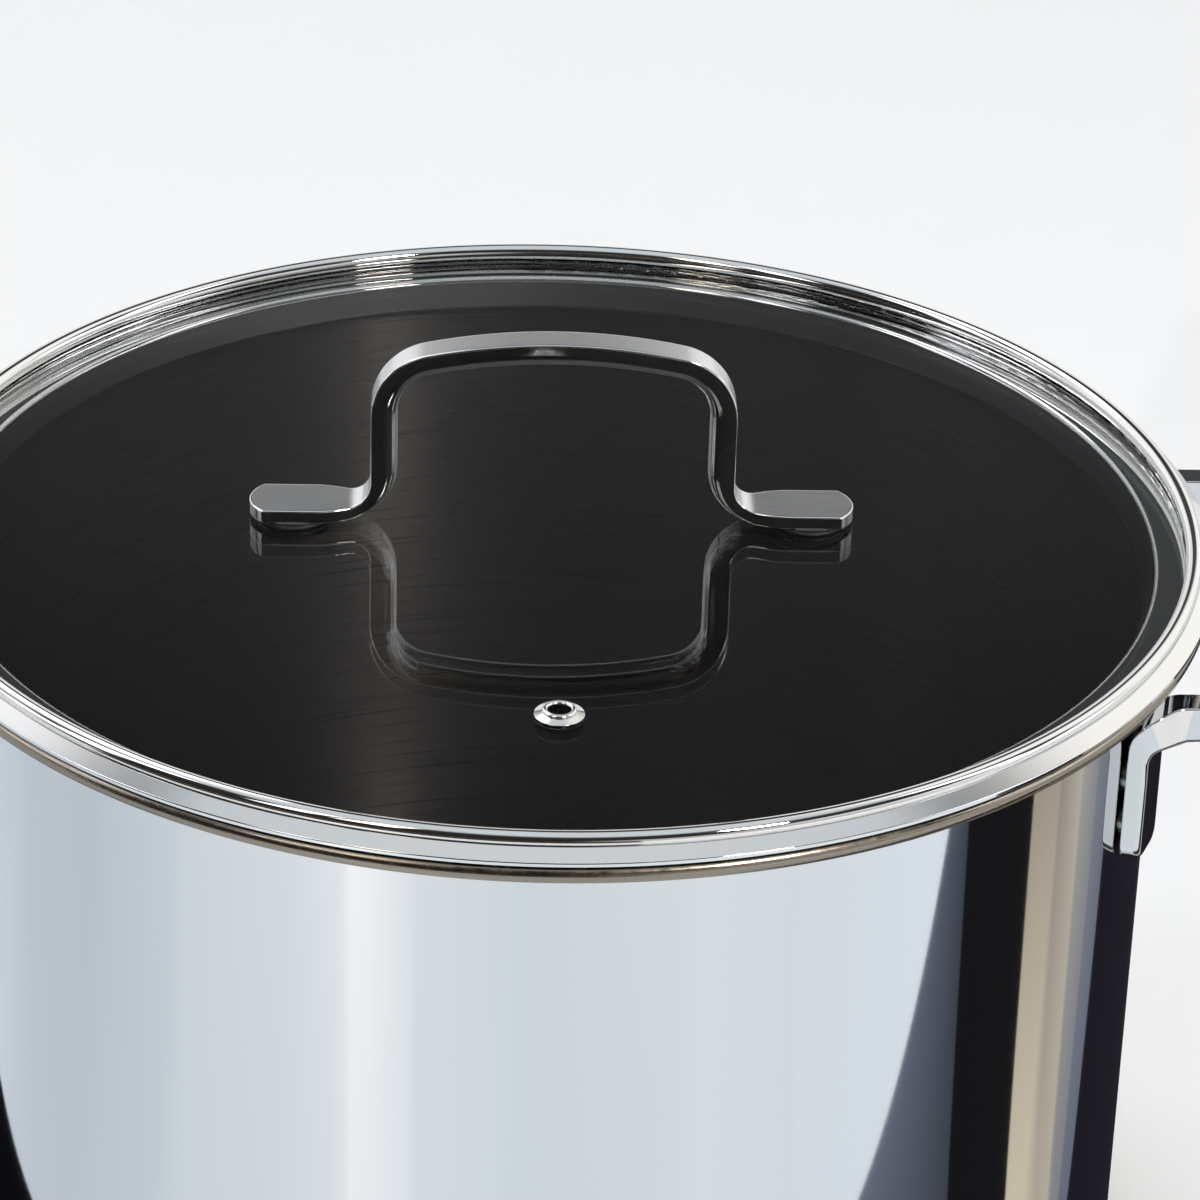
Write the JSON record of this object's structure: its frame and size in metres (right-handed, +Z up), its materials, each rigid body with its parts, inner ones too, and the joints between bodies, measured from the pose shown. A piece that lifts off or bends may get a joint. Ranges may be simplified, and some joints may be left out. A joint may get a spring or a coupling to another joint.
{
  "type": "stock pot with glass lid",
  "caption": "Round polished steel stock pot with bar side handles, a rolled rim and a flat lift-off glass lid that has a steel band, an arched bar handle and a steam vent.",
  "frame": {"origin": "centre of the base's underside, where the pot's axis meets the surface it stands on", "axes": "+Z up along the pot's axis; X runs through both side handles and along the lid handle; the steam vent is on the -Y side, which is the front"},
  "size_m": [0.362, 0.304, 0.2429],
  "materials": {
    "pot_steel": "mirror-polished outside, brushed inside",
    "cap_steel": "brushed in circles",
    "core_aluminium": "as rolled",
    "bar_steel": "polished",
    "weld_steel": "bright",
    "tempered_glass": "clear, polished",
    "band_steel": "mirror-polished",
    "vent_steel": "polished",
    "fixing_steel": "bright machined",
    "silicone": "matt black silicone"
  },
  "bodies": {
    "pot": {"pot_body": "pot_steel", "base_core": "core_aluminium", "base_cap": "cap_steel", "side_handle_right": "bar_steel", "side_handle_left": "bar_steel", "handle_welds_right": "weld_steel", "handle_welds_left": "weld_steel"},
    "lid": {"lid_glass": "tempered_glass", "lid_band": "band_steel", "lid_handle": "bar_steel", "handle_boss_left": "fixing_steel", "handle_boss_right": "fixing_steel", "handle_washer_left": "silicone", "handle_washer_right": "silicone", "under_washer_left": "silicone", "under_washer_right": "silicone", "under_cup_left": "fixing_steel", "under_cup_right": "fixing_steel", "handle_screw_left": "fixing_steel", "handle_screw_right": "fixing_steel", "vent_eyelet": "vent_steel", "vent_gasket": "silicone", "vent_ring": "vent_steel"}
  },
  "joints": [
    {"name": "lid_lift", "type": "slide", "parent": "pot", "child": "lid", "axis": [0, 0, 1], "range_m": [0, 0.25]}
  ]
}
